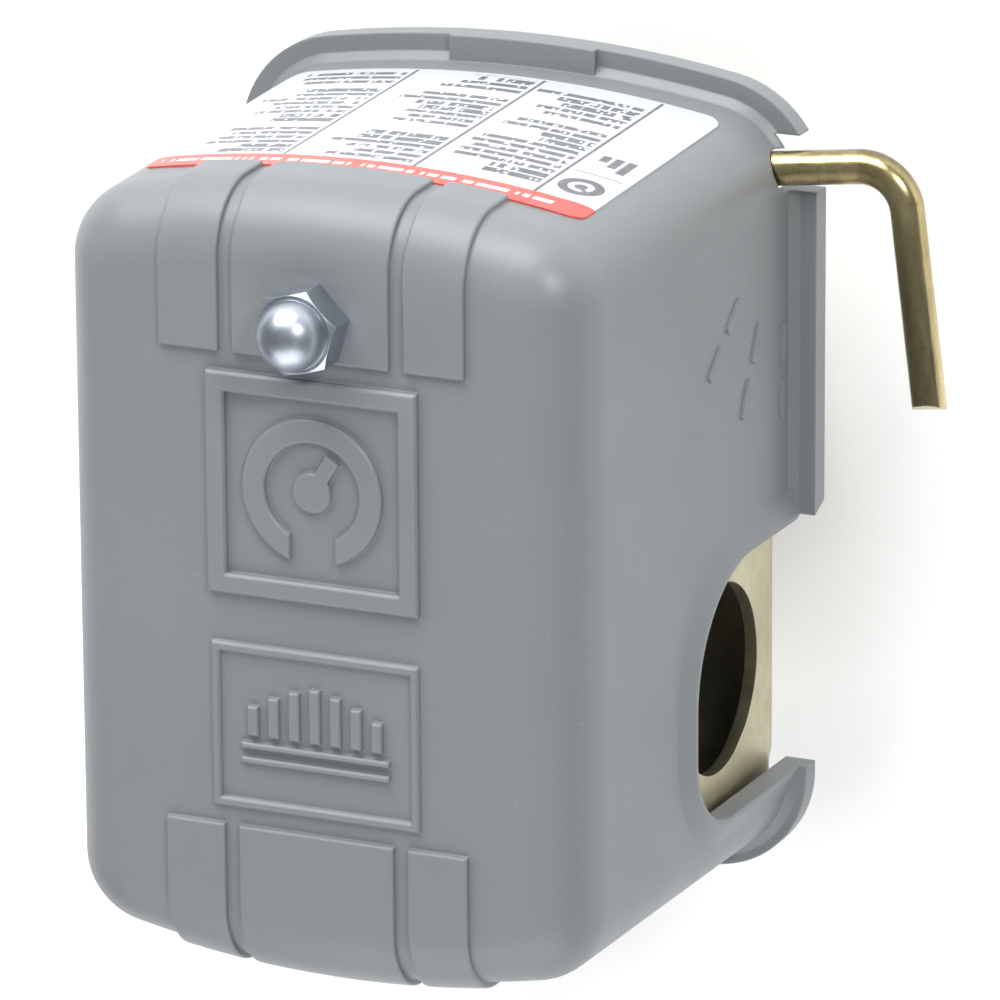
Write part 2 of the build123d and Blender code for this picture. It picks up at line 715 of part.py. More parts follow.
tip_r, tip_h = 2.2, 1.2
with BuildPart() as fixed_contacts:
    for x in bay_x:
        with BuildSketch(Plane((x, contact_y, strip_top))):
            Circle(tip_r)
        extrude(amount=tip_h)
    fillet(fixed_contacts.edges().group_by(Axis.Z)[-1], 0.35)
save(fixed_contacts.part, "fixed_contacts")

clamp_z = strip_top + 1.4
with BuildPart() as wire_clamps:
    for x in bay_x:
        with BuildSketch(Plane.XY.offset(clamp_z)) as clamp:
            with Locations((x, terminal_y)):
                Rectangle(7.4, 7.4)
            chamfer(clamp.vertices(), 1.0)
            with Locations((x, terminal_y)):
                Circle(1.9, mode=Mode.SUBTRACT)
        extrude(amount=1.1)
save(wire_clamps.part, "wire_clamps")

with BuildPart() as terminal_screws:
    for x in bay_x:
        add(round_head_screw(x, terminal_y, deck_z + 0.5, clamp_z + 1.1, 3.6, 2.4, 1.9))
save(terminal_screws.part, "terminal_screws")

with BuildPart() as ground_screws:
    for x in (-ground_x, ground_x):
        with BuildSketch(Plane((x, ground_y, base_z))):
            Circle(screw_r)
        extrude(amount=sheet)
        with BuildSketch(Plane((x, ground_y, base_top))):
            Circle(4.7)
        extrude(amount=0.9)
        add(hex_blank(x, ground_y, base_top + 0.9, 7.9, 2.6, ends=(False, True)))
        with BuildSketch(Plane((x, ground_y, base_top + 3.5))):
            Rectangle(9, 1.0)
        extrude(amount=-1.3, mode=Mode.SUBTRACT)
save(ground_screws.part, "ground_screws")

# ---- contact carrier with its two spring-loaded bridges ----
post_r = 1.5
with BuildPart() as contact_carrier:
    with BuildSketch(Plane.YZ.offset(-12)) as web:
        with Locations((sum(carrier_y) / 2, (plate_top + 0.2 + bar_z[1]) / 2)):
            Rectangle(carrier_y[1] - carrier_y[0], bar_z[1] - plate_top - 0.2)
        fillet(web.vertices().group_by(Axis.Y)[0], 0.9)
    extrude(amount=24)
    with BuildSketch(Plane.XY.offset(deck_top + 4)):
        with Locations((0, sum(carrier_y) / 2)):
            Rectangle(38, carrier_y[1] - carrier_y[0])
    extrude(amount=bar_z[1] - deck_top - 4)
    with BuildSketch(Plane.XY.offset(bar_z[0])) as bar:
        with Locations((0, (carrier_y[1] + contact_y - 3) / 2)):
            Rectangle(38, carrier_y[1] - contact_y + 3)
        fillet(bar.vertices().group_by(Axis.Y)[0], 1.5)
    extrude(amount=bar_z[1] - bar_z[0])
    for x in pole_x:
        with BuildSketch(Plane((x, contact_y, bridge_z[0] - 1.2))):
            Circle(post_r)
        extrude(amount=bar_z[0] - bridge_z[0] + 1.2)
        with BuildSketch(Plane((x, contact_y, bridge_z[0] - 1.0))):
            Circle(post_r + 0.9)
        extrude(amount=0.95)
save(contact_carrier.part, "contact_carrier")

with BuildPart() as contact_bridges:
    for x in pole_x:
        with BuildSketch(Plane((x, contact_y, bridge_z[0]))):
            SlotOverall(15.4, 5.0)
            Circle(post_r + 0.3, mode=Mode.SUBTRACT)
        extrude(amount=bridge_z[1] - bridge_z[0])
save(contact_bridges.part, "contact_bridges")

with BuildPart() as moving_contacts:
    for x in bay_x:
        with BuildSketch(Plane((x, contact_y, bridge_z[0]))):
            Circle(tip_r)
        extrude(amount=-(bridge_z[0] - strip_top - tip_h - 0.03))
save(moving_contacts.part, "moving_contacts")

bridge_coil = (bridge_z[1] + 0.05, bar_z[0] - 0.05)
with BuildPart() as bridge_springs:
    for x in pole_x:
        add(coil(x, contact_y, *bridge_coil, 2.3, 0.5, 3.5))
save(bridge_springs.part, "bridge_springs")
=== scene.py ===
import json
from math import cos, pi, radians, sin

import bpy
from mathutils import Matrix, Vector

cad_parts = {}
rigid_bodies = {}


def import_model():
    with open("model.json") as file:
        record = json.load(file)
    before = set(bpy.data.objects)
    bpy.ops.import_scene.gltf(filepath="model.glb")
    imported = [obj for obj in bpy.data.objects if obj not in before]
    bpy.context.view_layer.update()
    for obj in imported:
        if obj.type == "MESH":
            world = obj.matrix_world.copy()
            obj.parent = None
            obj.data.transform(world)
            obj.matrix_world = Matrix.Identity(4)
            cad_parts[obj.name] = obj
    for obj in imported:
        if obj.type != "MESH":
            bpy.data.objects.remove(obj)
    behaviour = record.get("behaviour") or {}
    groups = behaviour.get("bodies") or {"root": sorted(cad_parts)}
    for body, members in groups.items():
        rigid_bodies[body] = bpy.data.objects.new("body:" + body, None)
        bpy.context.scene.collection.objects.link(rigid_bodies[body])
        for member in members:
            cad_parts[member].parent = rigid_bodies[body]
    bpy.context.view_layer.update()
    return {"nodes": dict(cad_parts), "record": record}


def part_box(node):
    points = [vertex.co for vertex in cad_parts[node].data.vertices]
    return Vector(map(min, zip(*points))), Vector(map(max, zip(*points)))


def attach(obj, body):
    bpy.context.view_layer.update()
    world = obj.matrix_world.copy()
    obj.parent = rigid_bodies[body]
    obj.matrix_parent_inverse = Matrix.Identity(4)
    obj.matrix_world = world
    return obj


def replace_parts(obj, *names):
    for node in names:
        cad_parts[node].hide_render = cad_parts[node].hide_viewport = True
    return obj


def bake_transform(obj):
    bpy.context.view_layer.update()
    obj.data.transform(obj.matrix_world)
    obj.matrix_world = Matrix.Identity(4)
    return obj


for leftover in list(bpy.data.objects):
    bpy.data.objects.remove(leftover)

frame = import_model()
nodes = frame["nodes"]
scene = bpy.context.scene
scene.view_settings.view_transform = "Standard"
scene.view_settings.look = "None"

MM = 0.001


# ---------------------------------------------------------------- camera
AIM = Vector((22.42, 6.38, 83.9)) * MM
TOWARDS_CAMERA = Vector((0.3903, 0.3014, 0.8699)).normalized()
CAMERA_DISTANCE = 0.940
CAMERA_ROLL = radians(-0.34)

camera_data = bpy.data.cameras.new("camera")
camera_data.lens = 314.0
camera_data.sensor_width = 36.0
camera_data.clip_start = 0.05
camera_data.clip_end = 20
camera = bpy.data.objects.new("camera", camera_data)
scene.collection.objects.link(camera)
right = Vector((0, 1, 0)).cross(TOWARDS_CAMERA).normalized()
up = TOWARDS_CAMERA.cross(right)
upright = Matrix((right, up, TOWARDS_CAMERA)).transposed()
camera.matrix_world = (
    Matrix.Translation(AIM + TOWARDS_CAMERA * CAMERA_DISTANCE)
    @ upright.to_4x4()
    @ Matrix.Rotation(CAMERA_ROLL, 4, "Z")
)
scene.camera = camera


# ---------------------------------------------------------------- light
MIDDLE = Vector((0, 0, 0.05))


def area_light(name, direction, distance, size, power, mirrored=True):
    """A soft light in that direction from the middle of the object, facing it."""
    data = bpy.data.lights.new(name, "AREA")
    data.shape = "RECTANGLE"
    data.size, data.size_y = size
    data.energy = power
    light = bpy.data.objects.new(name, data)
    scene.collection.objects.link(light)
    away = Vector(direction).normalized()
    light.location = MIDDLE + away * distance
    light.rotation_mode = "QUATERNION"
    light.rotation_quaternion = away.to_track_quat("Z", "Y")
    light.visible_glossy = mirrored


area_light("key", (-0.19, 0.93, 0.34), 1.1, (0.95, 0.70), 17)
area_light("front_right", (0.62, 0.58, 0.54), 1.2, (0.24, 0.26), 6)
area_light("left", (-0.92, 0.05, 0.42), 1.1, (0.25, 0.7), 4, mirrored=False)
area_light("low", (0.10, -0.85, 0.52), 1.2, (1.6, 1.1), 14)
area_light("front", (-0.10, 0.05, 1.0), 1.5, (0.5, 0.5), 3.5, mirrored=False)

world = bpy.data.worlds.new("studio")
scene.world = world
world.use_nodes = True
sky = world.node_tree.nodes["Background"].inputs
sky["Color"].default_value = (0.95, 0.97, 1.0, 1)
sky["Strength"].default_value = 0.30


# ---------------------------------------------------------------- materials
class Graph:
    """A material's nodes, built by short calls. A value may be a number, a colour or a socket."""

    def __init__(self, name):
        self.material = bpy.data.materials.new(name)
        self.material.use_nodes = True
        self.tree = self.material.node_tree
        self.tree.nodes.clear()
        out = self.tree.nodes.new("ShaderNodeOutputMaterial")
        self.shader = self.tree.nodes.new("ShaderNodeBsdfPrincipled")
        self.tree.links.new(self.shader.outputs[0], out.inputs["Surface"])
        self.place = self.node("ShaderNodeTexCoord").outputs["Object"]

    def node(self, kind, values=(), **settings):
        made = self.tree.nodes.new(kind)
        for key, value in settings.items():
            setattr(made, key, value)
        for key, value in dict(values).items():
            self.put(made.inputs[key], value)
        return made

    def put(self, socket, value):
        if isinstance(value, bpy.types.NodeSocket):
            self.tree.links.new(value, socket)
        elif hasattr(value, "__len__") and socket.type == "RGBA":
            socket.default_value = (*value[:3], 1)
        else:
            socket.default_value = value

    def maths(self, operation, a, b=0.0, c=0.0):
        return self.node("ShaderNodeMath", {0: a, 1: b, 2: c}, operation=operation).outputs[0]

    def stretched(self, scale):
        """Object coordinates times scale, one factor for each axis."""
        values = {"Vector": self.place, "Scale": scale}
        return self.node("ShaderNodeMapping", values).outputs[0]

    def noise(self, scale, detail=3.0, roughness=0.55, stretch=None):
        values = {"Scale": scale, "Detail": detail, "Roughness": roughness}
        values["Vector"] = self.stretched(stretch) if stretch else self.place
        return self.node("ShaderNodeTexNoise", values).outputs["Fac"]

    def remap(self, value, low, high, to_low, to_high):
        """A value taken from low..high to to_low..to_high and held there."""
        values = {"Value": value, "From Min": low, "From Max": high}
        values.update({"To Min": to_low, "To Max": to_high})
        return self.node("ShaderNodeMapRange", values).outputs[0]

    def mix(self, share, a, b):
        """Colour a with that share of colour b."""
        made = self.node("ShaderNodeMix", {0: share}, data_type="RGBA")
        self.put(made.inputs[6], a)
        self.put(made.inputs[7], b)
        return made.outputs[2]

    def bump(self, height, distance, strength, normal=None):
        values = {"Height": height, "Distance": distance, "Strength": strength}
        if normal is not None:
            values["Normal"] = normal
        return self.node("ShaderNodeBump", values).outputs[0]

    def soft_edges(self, radius):
        """A normal that rounds edges of that radius, and a mask of where it does."""
        rounded = self.node("ShaderNodeBevel", {"Radius": radius}, samples=4).outputs[0]
        plain = self.node("ShaderNodeNewGeometry").outputs["Normal"]
        meet = self.node("ShaderNodeVectorMath", {0: rounded, 1: plain}, operation="DOT_PRODUCT")
        mask = self.remap(meet.outputs["Value"], 0.995, 0.90, 0.0, 1.0)
        return rounded, mask

    def surface(self, colour, roughness, normal, **uniform):
        """Connects the shader. A name like coat_weight sets its Coat Weight."""
        self.put(self.shader.inputs["Base Color"], colour)
        self.put(self.shader.inputs["Roughness"], roughness)
        self.put(self.shader.inputs["Normal"], normal)
        for key, value in uniform.items():
            self.put(self.shader.inputs[key.replace("_", " ").title()], value)
        return self.material


def shaded(colour, factor):
    return tuple(channel * factor for channel in colour)


def metal(name, base, other, rough, grain=420.0, worn=None):
    """Plated or bare metal: drifting tone, fine grain, smudges in the gloss, worn edges."""
    g = Graph(name)
    rounded, edges = g.soft_edges(0.00012)
    tone = g.remap(g.noise(70.0, 4.0, 0.6), 0.32, 0.68, 0.0, 1.0)
    colour = g.mix(tone, base, other)
    speck = g.remap(g.noise(grain * 2.2, 2.0), 0.45, 0.75, 0.0, 0.35)
    colour = g.mix(speck, colour, shaded(base, 0.62))
    if worn:
        colour = g.mix(g.maths("MULTIPLY", edges, 0.7), colour, worn)
    smudge = g.remap(g.noise(130.0, 4.0, 0.65), 0.3, 0.7, rough - 0.06, rough + 0.08)
    fine = g.noise(grain, 3.0, 0.6)
    gloss = g.maths("MULTIPLY_ADD", fine, 0.12, smudge)
    height = g.maths("MULTIPLY_ADD", g.noise(160.0, 2.0), 2.0, fine)
    return g.surface(colour, gloss, g.bump(height, 0.000012, 0.8, rounded), metallic=1.0)


def plastic(name, base, rough, shade=0.10, grain=1500.0, edge_tone=1.25, coat=0.0):
    """Moulded plastic or rubber: faint flow marks, fine grain, dust and lighter edges."""
    g = Graph(name)
    rounded, edges = g.soft_edges(0.0002)
    flow = g.remap(g.noise(26.0, 4.0, 0.6, (1.0, 1.0, 0.45)), 0.3, 0.7, 0.0, 1.0)
    colour = g.mix(flow, shaded(base, 1 - shade), shaded(base, 1 + shade))
    dust = g.remap(g.noise(900.0, 2.0, 0.7), 0.66, 0.80, 0.0, 0.30)
    colour = g.mix(dust, colour, tuple(min(1.0, c * 1.35 + 0.02) for c in base))
    colour = g.mix(g.maths("MULTIPLY", edges, 0.45), colour, shaded(base, edge_tone))
    gloss = g.remap(g.noise(55.0, 5.0, 0.6), 0.3, 0.7, rough - 0.05, rough + 0.06)
    height = g.maths("MULTIPLY_ADD", g.noise(90.0, 2.0), 3.0, g.noise(grain, 3.0, 0.6))
    return g.surface(colour, gloss, g.bump(height, 0.00001, 0.8, rounded), coat_weight=coat)


def cover_material():
    """Grey satin thermoplastic with moulding flow, fine grain, faint rub marks and pale edges."""
    g = Graph("cover_plastic_detailed")
    rounded, edges = g.soft_edges(0.00035)
    base = (0.176, 0.190, 0.197)
    flow = g.remap(g.noise(19.0, 5.0, 0.62, (1.0, 0.7, 0.5)), 0.3, 0.7, 0.0, 1.0)
    colour = g.mix(flow, shaded(base, 0.95), shaded(base, 1.05))
    grain = g.noise(2600.0, 2.0, 0.6)
    colour = g.mix(g.remap(grain, 0.35, 0.65, 0.0, 0.22), colour, shaded(base, 0.86))
    dust = g.remap(g.noise(640.0, 3.0, 0.75), 0.68, 0.80, 0.0, 0.22)
    colour = g.mix(dust, colour, (0.40, 0.42, 0.43))
    rubs = g.remap(g.noise(85.0, 3.0, 0.7, (0.25, 3.2, 0.7)), 0.70, 0.78, 0.0, 0.14)
    colour = g.mix(rubs, colour, (0.34, 0.36, 0.37))
    colour = g.mix(g.maths("MULTIPLY", edges, 0.35), colour, (0.32, 0.34, 0.35))
    gloss = g.remap(g.noise(48.0, 5.0, 0.6), 0.3, 0.7, 0.36, 0.47)
    gloss = g.maths("MULTIPLY_ADD", rubs, 0.5, gloss)
    height = g.maths("MULTIPLY_ADD", g.noise(42.0, 2.0), 9.0, grain)
    return g.surface(colour, gloss, g.bump(height, 0.0000085, 0.9, rounded))


def label_material():
    """Pale film with a red band, thin dividers, rows of small dashes and two plain signs."""
    g = Graph("label_print")
    axes = g.node("ShaderNodeSeparateXYZ", {0: g.place})
    x = g.maths("MULTIPLY", axes.outputs["X"], 1 / MM)
    z = g.maths("MULTIPLY", axes.outputs["Z"], 1 / MM)

    def both(*masks):
        found = masks[0]
        for mask in masks[1:]:
            found = g.maths("MULTIPLY", found, mask)
        return found

    def either(*masks):
        found = masks[0]
        for mask in masks[1:]:
            found = g.maths("MAXIMUM", found, mask)
        return found

    def above(value, limit):
        return g.maths("GREATER_THAN", value, limit)

    def below(value, limit):
        return g.maths("LESS_THAN", value, limit)

    def within(value, low, high):
        return both(above(value, low), below(value, high))

    def far(px, pz):
        """Distance in mm from a point of the label."""
        away_x = g.maths("SUBTRACT", x, px)
        away_z = g.maths("SUBTRACT", z, pz)
        squares = g.maths("ADD", g.maths("POWER", away_x, 2.0), g.maths("POWER", away_z, 2.0))
        return g.maths("SQRT", squares)

    def cell(value, size):
        """The whole number of that size's steps in a value."""
        return g.maths("FLOOR", g.maths("DIVIDE", value, size))

    def random(a, b, salt):
        spot = g.node("ShaderNodeCombineXYZ", {0: a, 1: b, 2: salt}).outputs[0]
        made = g.node("ShaderNodeTexWhiteNoise", {"Vector": spot}, noise_dimensions="3D")
        return made.outputs["Value"]

    # the band's lower edge, the foot of the rows and the lines between the columns, in mm
    band_z, foot_z = 67.6, 32.4
    dividers = (-10.7, 5.0, 19.4)
    margin = 0.7
    row_pitch = 1.80
    row_place = g.maths("DIVIDE", g.maths("SUBTRACT", band_z - margin, z), row_pitch)
    row = g.maths("FLOOR", row_place)
    in_row = g.maths("FRACT", row_place)
    column = 0.0
    for divider in dividers:
        column = g.maths("ADD", column, above(x, divider))

    # two rows of every seven are bold and shorter, at another height in each column
    shifted = g.maths("ADD", row, g.maths("MULTIPLY", column, 3.0))
    heading = below(g.maths("MODULO", shifted, 7.0), 1.5)
    line = either(within(in_row, 0.20, 0.78), both(heading, within(in_row, 0.10, 0.88)))

    # the rows start at each column's +X side and end raggedly
    start = 0.0
    for number, divider in enumerate(dividers):
        here = within(column, number - 0.5, number + 0.5)
        start = g.maths("ADD", start, g.maths("MULTIPLY", here, divider))
    run = g.maths("SUBTRACT", start, x)
    length = g.maths("MULTIPLY_ADD", random(row, column, 3.0), 6.0, 8.4)
    shorter = g.maths("SUBTRACT", 1.0, g.maths("MULTIPLY", heading, 0.25))
    length = g.maths("MULTIPLY", length, shorter)
    filled = both(above(run, margin), below(run, length), below(x, dividers[-1]), above(x, -25.4))

    # gaps between dashes, gaps inside them, and rows left out
    spot = {0: g.maths("MULTIPLY", x, 1.15), 1: g.maths("MULTIPLY", row, 7.3)}
    spot = g.node("ShaderNodeCombineXYZ", spot).outputs[0]
    words = g.node("ShaderNodeTexNoise", {"Vector": spot, "Scale": 1.0, "Detail": 0.0})
    stroke_row = g.maths("FLOOR", g.maths("MULTIPLY", row_place, 3.1))
    strokes = above(random(cell(x, 0.34), stroke_row, 9.0), 0.12)
    kept = above(random(row, column, 21.0), 0.10)
    text = both(line, filled, above(words.outputs["Fac"], 0.32), strokes, kept)
    text = both(text, within(z, foot_z, band_z - 0.4))

    rules = either(*[within(x, divider - 0.2, divider + 0.2) for divider in dividers])
    rules = both(rules, within(z, foot_z - 0.5, band_z))
    rules = either(rules, both(within(z, 58.3, 58.5), within(x, 20.2, 25.8)))

    # a small dial with a slanting pointer
    dial_x, dial_z = 22.9, 62.9
    ring = within(far(dial_x, dial_z), 1.5, 2.6)
    hub = below(far(dial_x, dial_z), 0.75)
    along = within(g.maths("ADD", x, z), dial_x + dial_z + 0.4, dial_x + dial_z + 2.4)
    across = within(g.maths("SUBTRACT", x, z), dial_x - dial_z - 0.55, dial_x - dial_z + 0.15)
    pointer = both(along, across)

    # three bars, each higher than the one before
    bars_x, bars_z, bar_step, bar_width, bar_rise = 21.0, 52.0, 1.5, 1.05, 1.2
    from_start = g.maths("SUBTRACT", x, bars_x)
    in_bar = within(g.maths("MODULO", from_start, bar_step), 0.0, bar_width)
    top = g.maths("MULTIPLY_ADD", cell(from_start, bar_step), bar_rise, 2.0)
    bars = both(in_bar, within(x, bars_x, 25.2))
    bars = both(bars, above(z, bars_z), below(g.maths("SUBTRACT", z, bars_z), top))
    signs = either(ring, hub, pointer, bars)

    # a line of pale dashes in the band
    band = above(z, band_z)
    dashes = both(within(z, band_z + 1.45, band_z + 2.45), within(x, -24.6, 24.8))
    dashes = both(dashes, above(random(cell(x, 0.42), 4.0, 2.0), 0.42))
    dashes = both(dashes, above(random(cell(x, 4.5), 1.0, 5.0), 0.22))

    def mottled(scale, detail, roughness, low, high, a, b):
        return g.mix(g.remap(g.noise(scale, detail, roughness), low, high, 0.0, 1.0), a, b)

    paper = mottled(60.0, 4.0, 0.6, 0.3, 0.7, (0.44, 0.46, 0.495), (0.49, 0.51, 0.54))
    ink = mottled(900.0, 3.0, 0.55, 0.35, 0.65, (0.030, 0.033, 0.038), (0.075, 0.080, 0.088))
    red = mottled(300.0, 4.0, 0.55, 0.35, 0.65, (0.68, 0.085, 0.065), (0.60, 0.065, 0.052))
    ink_cover = 0.88
    colour = g.mix(g.maths("MULTIPLY", either(rules, signs), ink_cover), paper, ink)
    colour = g.mix(g.maths("MULTIPLY", text, ink_cover), colour, ink)
    colour = g.mix(band, colour, red)
    colour = g.mix(g.maths("MULTIPLY", both(band, dashes), 0.7), colour, (0.78, 0.74, 0.74))
    gloss = g.remap(g.noise(70.0, 5.0, 0.6), 0.3, 0.7, 0.24, 0.36)
    height = g.maths("MULTIPLY_ADD", g.noise(75.0, 2.0), 6.0, g.noise(1800.0, 2.0))
    return g.surface(colour, gloss, g.bump(height, 0.000006, 0.8))


def lever_material():
    """Yellow chromated rod: straw to olive tone in long drawn streaks, darker in the grain."""
    g = Graph("lever_rod")
    rounded, edges = g.soft_edges(0.0002)
    streaks = g.noise(240.0, 4.0, 0.65, (0.30, 0.10, 1.0))
    tone = g.remap(g.noise(95.0, 5.0, 0.65, (1.0, 0.45, 1.0)), 0.32, 0.68, 0.0, 1.0)
    colour = g.mix(tone, (0.38, 0.30, 0.14), (0.70, 0.60, 0.33))
    colour = g.mix(g.remap(streaks, 0.46, 0.64, 0.0, 0.8), colour, (0.15, 0.125, 0.07))
    grain = g.remap(g.noise(1300.0, 2.0), 0.58, 0.76, 0.0, 0.5)
    colour = g.mix(grain, colour, (0.16, 0.125, 0.06))
    colour = g.mix(g.maths("MULTIPLY", edges, 0.5), colour, (0.66, 0.60, 0.42))
    gloss = g.remap(g.noise(210.0, 4.0, 0.65, (1.0, 0.3, 1.0)), 0.3, 0.7, 0.16, 0.32)
    height = g.maths("MULTIPLY_ADD", streaks, 2.4, g.noise(700.0, 3.0))
    return g.surface(colour, gloss, g.bump(height, 0.000018, 0.9, rounded), metallic=1.0)


LOOKS = {
    "cover_plastic": cover_material(),
    "label": label_material(),
    "bright_zinc": metal(
        "bright_zinc_plate", (0.46, 0.50, 0.56), (0.34, 0.37, 0.42), 0.33,
        worn=(0.66, 0.69, 0.72),
    ),
    "yellow_zinc": metal(
        "yellow_zinc_plate", (0.56, 0.52, 0.37), (0.40, 0.36, 0.23), 0.34,
        grain=300.0, worn=(0.72, 0.69, 0.56),
    ),
    "lever_steel": lever_material(),
    "spring_steel": metal(
        "spring_steel_oiled", (0.30, 0.31, 0.33), (0.19, 0.195, 0.21), 0.30,
        worn=(0.45, 0.46, 0.48),
    ),
    "cast_zinc": metal(
        "cast_zinc_alloy", (0.50, 0.51, 0.52), (0.39, 0.40, 0.415), 0.46,
        grain=650.0, worn=(0.66, 0.67, 0.68),
    ),
    "diaphragm_rubber": plastic(
        "diaphragm_rubber_sheet", (0.022, 0.022, 0.023), 0.62, grain=900.0
    ),
    "phenolic": plastic(
        "phenolic_moulding", (0.028, 0.025, 0.023), 0.36, 0.22, edge_tone=2.4, coat=0.15
    ),
    "carrier_plastic": plastic(
        "carrier_moulding", (0.23, 0.072, 0.035), 0.40, 0.18, edge_tone=1.5
    ),
    "brass_strip": metal(
        "brass_rolled", (0.78, 0.58, 0.27), (0.62, 0.43, 0.18), 0.28,
        worn=(0.86, 0.70, 0.42),
    ),
    "contact_silver": metal(
        "contact_silver_alloy", (0.86, 0.85, 0.82), (0.66, 0.64, 0.60), 0.26
    ),
    "green_steel": metal(
        "green_dyed_plate", (0.05, 0.34, 0.13), (0.03, 0.23, 0.085), 0.32,
        worn=(0.40, 0.52, 0.40),
    ),
    "piston_nylon": plastic("piston_acetal", (0.62, 0.60, 0.52), 0.42, 0.06),
}
slot_of = {part["node"]: part["material_slot"] for part in frame["record"]["subparts"]}
for name, node in nodes.items():
    node.material_slots[0].material = LOOKS[slot_of[name]]


# ---------------------------------------------------------------- pieces
def piece(name, points, faces, slot, sharp):
    """A smooth mesh object, points in millimetres; edges sharper than that angle stay crisp."""
    mesh = bpy.data.meshes.new(name)
    mesh.from_pydata([tuple(c * MM for c in p) for p in points], [], faces)
    mesh.validate()
    made = bpy.data.objects.new(name, mesh)
    scene.collection.objects.link(made)
    mesh.materials.append(LOOKS[slot])
    for face in mesh.polygons:
        face.use_smooth = True
    mesh.set_sharp_from_angle(angle=radians(sharp))
    return made


def skin(points, faces, rings):
    """Joins rings of equal length, each to the next, with a cap at each end."""
    count = len(rings[0])
    base = len(points)
    for ring in rings:
        points.extend(ring)
    for i in range(len(rings) - 1):
        for j in range(count):
            a, b = base + i * count + j, base + i * count + (j + 1) % count
            faces.append((a, b, b + count, a + count))
    top = base + (len(rings) - 1) * count
    faces.append(tuple(base + j for j in reversed(range(count))))
    faces.append(tuple(top + j for j in range(count)))


STUD_SIDES = 36
HEX_SIDES = 48
FOOT_Z = 25.5


def thread_rings(x, y, radius, pitch, z0, z1):
    """Rings of a screw thread between z0 and z1, fading in at z0 and chamfered at z1."""
    per_pitch = 6
    depth = 0.55 * pitch
    rings = []
    levels = int((z1 - z0) / pitch * per_pitch)
    for i in range(levels + 1):
        z = z0 + (z1 - z0) * i / levels
        ring = []
        for j in range(STUD_SIDES):
            turn = 2 * pi * j / STUD_SIDES
            phase = ((z - z0) / pitch - j / STUD_SIDES) % 1.0
            cut = depth * min(1.0, max(0.0, 1.25 - abs(2.9 * (phase - 0.5))))
            cut *= min(1.0, (z - z0) / pitch)
            crest = min(radius - cut, radius - 0.42 + (z1 - z) * 0.9)
            ring.append((x + crest * cos(turn), y + crest * sin(turn), z))
        rings.append(ring)
    return rings


def hexagon(x, y, z, flat, reach):
    """A hexagon's outline, flat from its middle to each side, cut off beyond reach."""
    ring = []
    for j in range(HEX_SIDES):
        turn = 2 * pi * j / HEX_SIDES
        r = min(flat / cos((turn + pi / 6) % (pi / 3) - pi / 6), reach)
        ring.append((x + r * cos(turn), y + r * sin(turn), z))
    return ring


def threaded_stud(name, node, x, y, radius, pitch, thread_z, foot):
    """Stud with rolled threads from thread_z up, and its hex foot, in place of the CAD's rod."""
    low, high = (v / MM for v in (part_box(node)[0].z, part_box(node)[1].z))
    points, faces = [], []

    def circle(z, r):
        turns = [2 * pi * j / STUD_SIDES for j in range(STUD_SIDES)]
        return [(x + r * cos(turn), y + r * sin(turn), z) for turn in turns]

    shank, crest = radius * 0.93, radius - 0.01
    rings = [circle(low, shank), circle(thread_z - 0.4, shank), circle(thread_z, crest)]
    skin(points, faces, rings + thread_rings(x, y, crest, pitch, thread_z, high)[1:])

    across, height = foot
    flat, corner = across / 2, across / 2 / cos(pi / 6)
    profile = ((0.0, corner), (height - 0.7, corner), (height, flat))
    skin(points, faces, [hexagon(x, y, FOOT_Z + dz, flat, reach) for dz, reach in profile])

    made = piece(name, points, faces, "bright_zinc", 32)
    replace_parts(made, node)
    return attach(made, "base")


threaded_stud("cover_stud_threaded", "cover_stud", 0, 23.5, 2.08, 0.794, 66.0, (8.0, 3.0))
threaded_stud("range_stud_threaded", "range_stud", 0, 11.0, 3.175, 1.27, 48.0, (10.0, 3.0))
threaded_stud(
    "differential_stud_threaded", "differential_stud", 13.0, -1.5, 2.4, 0.794, 40.0, (8.0, 2.5)
)


def tube(path, radius, low, high):
    """Rings of a round wire along path, ground flat below low and above high."""
    sides = 12
    rings = []
    for i, here in enumerate(path):
        before, after = path[max(0, i - 1)], path[min(len(path) - 1, i + 1)]
        ahead = (after - before).normalized()
        side = ahead.cross(Vector((0, 0, 1))).normalized()
        rise = side.cross(ahead)
        ring = []
        for j in range(sides):
            turn = 2 * pi * j / sides
            spot = here + side * (radius * cos(turn)) + rise * (radius * sin(turn))
            spot.z = min(max(spot.z, low), high)
            ring.append(tuple(spot))
        rings.append(ring)
    return rings


def coil_path(x, y, z0, z1, mean_r, wire_r, turns):
    """Centreline of a compression spring with a closed turn more at each end."""
    per_turn = 28
    total = turns + 2
    rise_low, rise_high = z0 + wire_r * 0.55, z1 - wire_r * 0.55
    open_low, open_high = rise_low + 1.75 * wire_r, rise_high - 1.75 * wire_r
    path = []
    for i in range(int(total * per_turn) + 1):
        t = i / per_turn
        if t < 1:
            z = rise_low + (open_low - rise_low) * t ** 1.5
        elif t > total - 1:
            z = rise_high - (rise_high - open_high) * (total - t) ** 1.5
        else:
            z = open_low + (open_high - open_low) * (t - 1) / turns
        turn = 2 * pi * t
        path.append(Vector((x + mean_r * cos(turn), y + mean_r * sin(turn), z)))
    return path


def spring(name, node, coils):
    """Ground-end compression springs in place of a CAD node; coils lists each one's sizes."""
    points, faces = [], []
    for x, y, z0, z1, mean_r, wire_r, turns in coils:
        path = coil_path(x, y, z0, z1, mean_r, wire_r, turns)
        skin(points, faces, tube(path, wire_r, z0, z1))
    made = piece(name, points, faces, "spring_steel", 50)
    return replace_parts(made, node)


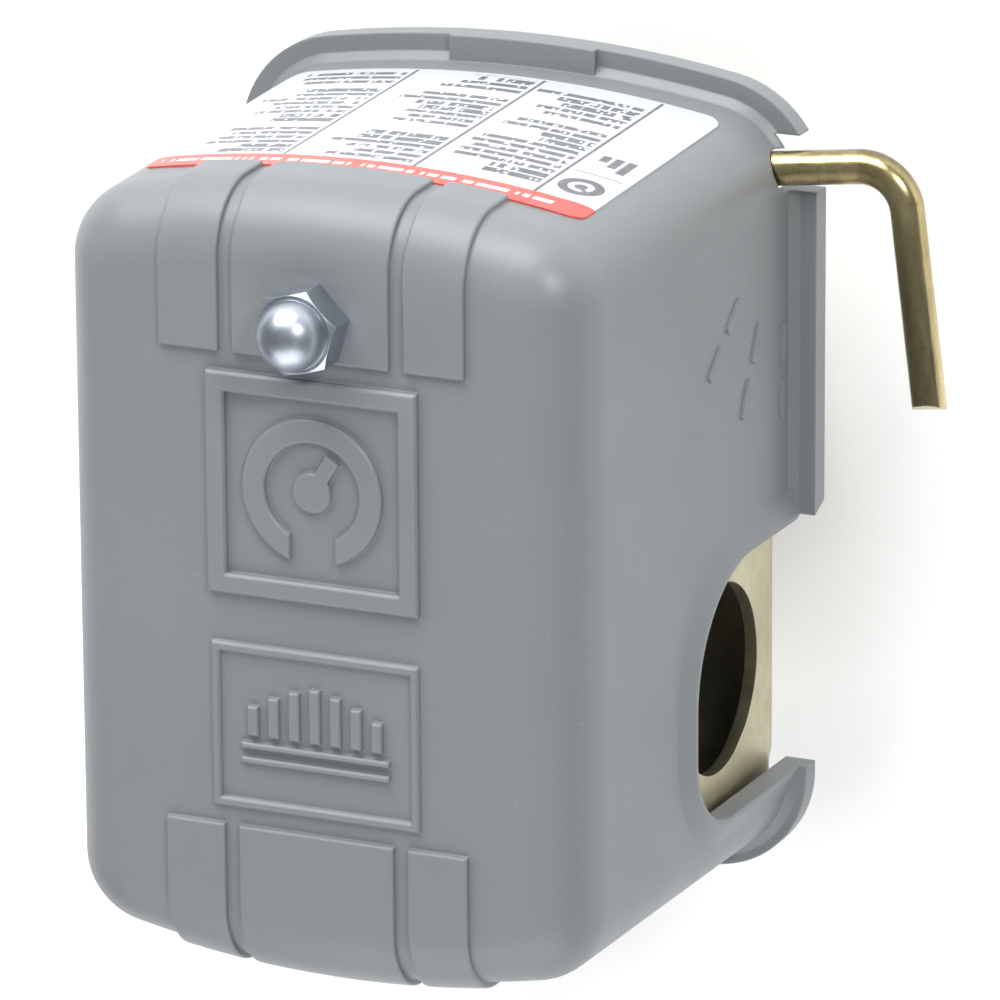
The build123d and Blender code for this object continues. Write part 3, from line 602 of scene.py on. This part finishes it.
range_coil = (0, 11.0, 36.6, 61.95, 8.1, 1.3, 4.3)
range_spring = spring("range_spring_ground", "range_spring", [range_coil])
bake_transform(range_spring)
low_coil = (13.0, -1.5, 36.6, 49.95, 3.9, 0.55, 5.2)
low_spring = spring("differential_spring_ground", "differential_spring", [low_coil])
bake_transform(low_spring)
bridge_coils = [(x, -20.0, 60.2, 64.2, 2.3, 0.25, 2.8) for x in (-14.1, 14.1)]
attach(spring("bridge_springs_ground", "bridge_springs", bridge_coils), "carrier")


def port_thread():
    """Pipe thread inside the pressure port, as a ridge that winds up its bore."""
    pitch, bore, root = 25.4 / 18, 6.02, 5.45
    low, height, per_turn = 0.35, 10.4, 48
    count = int((height / pitch) * per_turn)
    points, faces = [], []
    for i in range(count + 1):
        z = low + pitch * i / per_turn
        turn = 2 * pi * i / per_turn
        fade = min(1.0, i / per_turn * 2, (count - i) / per_turn * 2)
        crest = bore - (bore - root) * fade
        for r, dz in ((bore, -0.52), (crest, -0.09), (crest, 0.09), (bore, 0.52)):
            points.append((r * cos(turn), r * sin(turn), max(0.02, z + dz * pitch)))
    sides = 4
    for i in range(count):
        for j in range(sides):
            a, b = i * sides + j, i * sides + (j + 1) % sides
            faces.append((a, a + sides, b + sides, b))
    last = count * sides
    faces.append((0, 1, 2, 3))
    faces.append((last + 3, last + 2, last + 1, last))
    made = piece("port_thread", points, faces, "cast_zinc", 30)
    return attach(made, "base")


port_thread()


# ---------------------------------------------------------------- floor
def floor():
    """A plain pale table top under the port."""
    g = Graph("floor_pale")
    tone = g.remap(g.noise(3.0, 3.0), 0.3, 0.7, 0.0, 1.0)
    colour = g.mix(tone, (0.90, 0.90, 0.90), (0.93, 0.93, 0.93))
    g.put(g.shader.inputs["Base Color"], colour)
    g.shader.inputs["Roughness"].default_value = 0.9
    g.shader.inputs["Specular IOR Level"].default_value = 0.1
    mesh = bpy.data.meshes.new("floor")
    reach = 3.0
    corners = [(-reach, -reach, 0), (reach, -reach, 0), (reach, reach, 0), (-reach, reach, 0)]
    mesh.from_pydata(corners, [], [(0, 1, 2, 3)])
    mesh.materials.append(g.material)
    made = bpy.data.objects.new("floor", mesh)
    scene.collection.objects.link(made)


floor()
